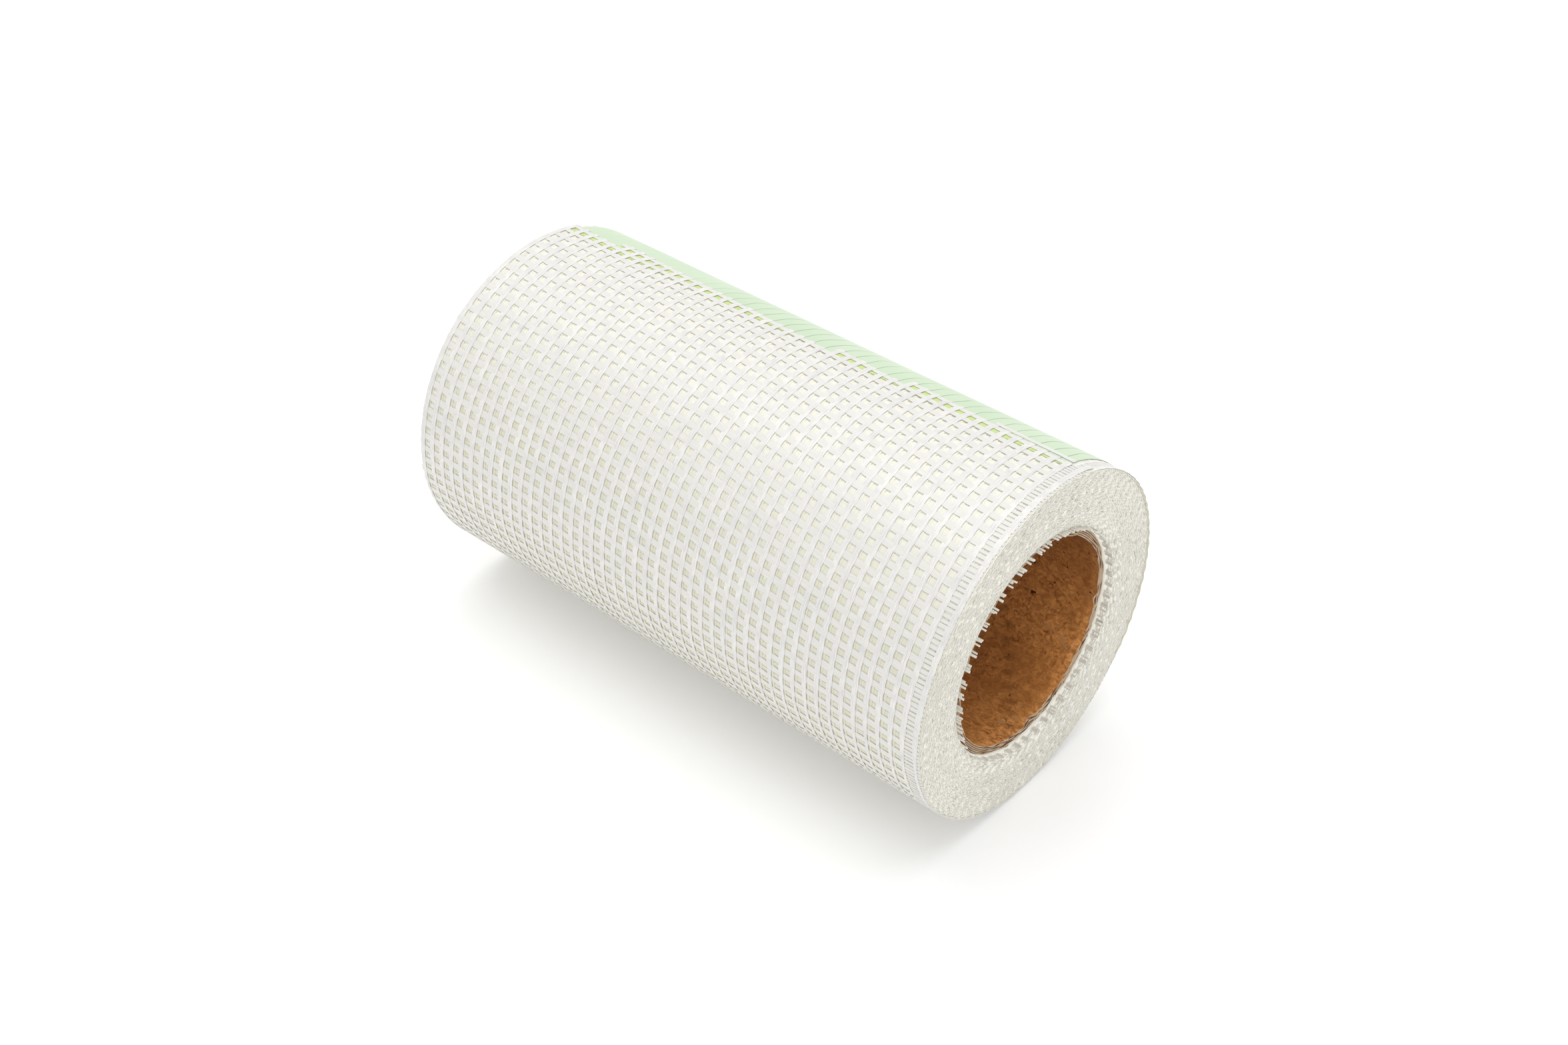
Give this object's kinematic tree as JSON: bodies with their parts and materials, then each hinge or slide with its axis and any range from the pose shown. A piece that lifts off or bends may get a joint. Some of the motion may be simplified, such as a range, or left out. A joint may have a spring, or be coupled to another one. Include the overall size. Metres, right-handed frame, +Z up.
{
  "type": "roll of fiberglass mesh",
  "caption": "Roll of white self-adhesive fiberglass mesh on a cardboard core, lying on its side, with a green film strip under its free end.",
  "frame": {"origin": "on the floor, under the middle of the roll as it lies on its side", "axes": "+X along the roll's axis towards the end that the picture shows, +Y to the back, +Z up"},
  "size_m": [0.15, 0.084, 0.084],
  "materials": {
    "glass_mesh": "open leno weave of coated glass yarn, off-white with a soft gloss",
    "kraft_board": "brown kraft paper, spirally wound, unprinted",
    "green_film": "thin pale green translucent film, satin"
  },
  "bodies": {
    "root": {"mesh_roll": "glass_mesh", "core_tube": "kraft_board", "end_tab": "green_film"}
  },
  "joints": []
}
